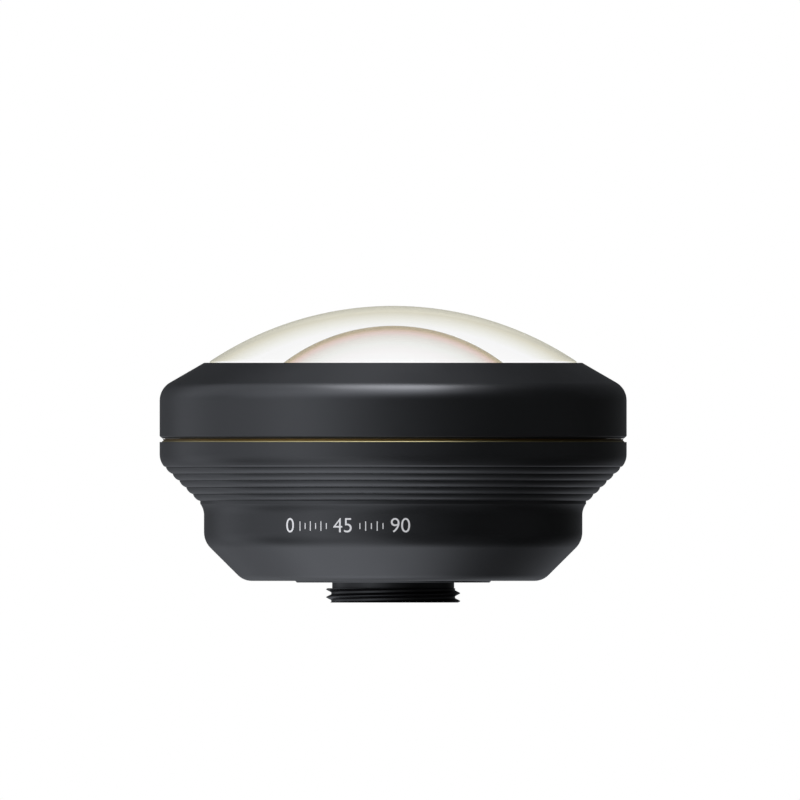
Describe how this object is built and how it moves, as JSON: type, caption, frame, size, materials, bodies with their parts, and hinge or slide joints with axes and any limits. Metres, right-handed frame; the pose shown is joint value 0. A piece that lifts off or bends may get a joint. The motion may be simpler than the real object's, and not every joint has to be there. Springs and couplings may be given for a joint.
{
  "type": "phone fisheye lens",
  "caption": "Screw-on phone fisheye lens: domed front glass in a conical bezel, gold accent ring, ribbed flared barrel and a short external mounting thread.",
  "frame": {"origin": "centre of the end face of the mounting thread, which is the lowest face of the lens", "axes": "+Z along the optical axis, out of the front glass; the lens is round about Z; the screws of the mount are at 90, 210 and 330 degrees from +X"},
  "size_m": [0.0594, 0.0594, 0.0377],
  "materials": {
    "anodised_black": "satin black anodised, fine bead-blasted grain",
    "mount_black": "black anodised, turned, slight sheen on the thread",
    "matt_black_metal": "matt black, light absorbing",
    "gold_brass": "gold anodised, satin",
    "shim_brass": "rolled brass",
    "screw_steel": "black oxide, satin",
    "front_glass": "polished, coated, faint warm tint at the edge",
    "inner_glass": "polished, coated, ground black edge",
    "seal_rubber": "matt black rubber",
    "washer_plastic": "smooth black low-friction plastic"
  },
  "bodies": {
    "barrel": {"barrel": "anodised_black", "mount_ring": "mount_black", "inner_cell": "matt_black_metal", "hood_baffle": "matt_black_metal", "second_retainer": "matt_black_metal", "stack_retainer": "matt_black_metal", "rear_retainer": "matt_black_metal", "rear_spacer": "matt_black_metal", "middle_spacer": "matt_black_metal", "aperture_stop": "matt_black_metal", "accent_ring": "gold_brass", "focus_shim": "shim_brass", "mount_screws": "screw_steel", "front_element": "front_glass", "second_element": "inner_glass", "third_element": "inner_glass", "doublet_front": "inner_glass", "doublet_rear": "inner_glass", "rear_element": "inner_glass", "front_seal": "seal_rubber", "rear_gasket": "seal_rubber"},
    "slip_washer": {"slip_washer": "washer_plastic"},
    "front_ring": {"front_ring": "anodised_black"}
  },
  "joints": [
    {"name": "front_ring_rise", "type": "slide", "parent": "barrel", "child": "slip_washer", "axis": [0, 0, 1], "range_m": [0, 0.00225]},
    {"name": "front_ring_turn", "type": "hinge", "parent": "slip_washer", "child": "front_ring", "pos_m": [0, 0, 0.02083], "axis": [0, 0, 1], "range_deg": [0, 1080]}
  ],
  "couplings": [
    {"joint": "front_ring_rise", "follows": "front_ring_turn", "m_per_rad": 0.00011937}
  ]
}
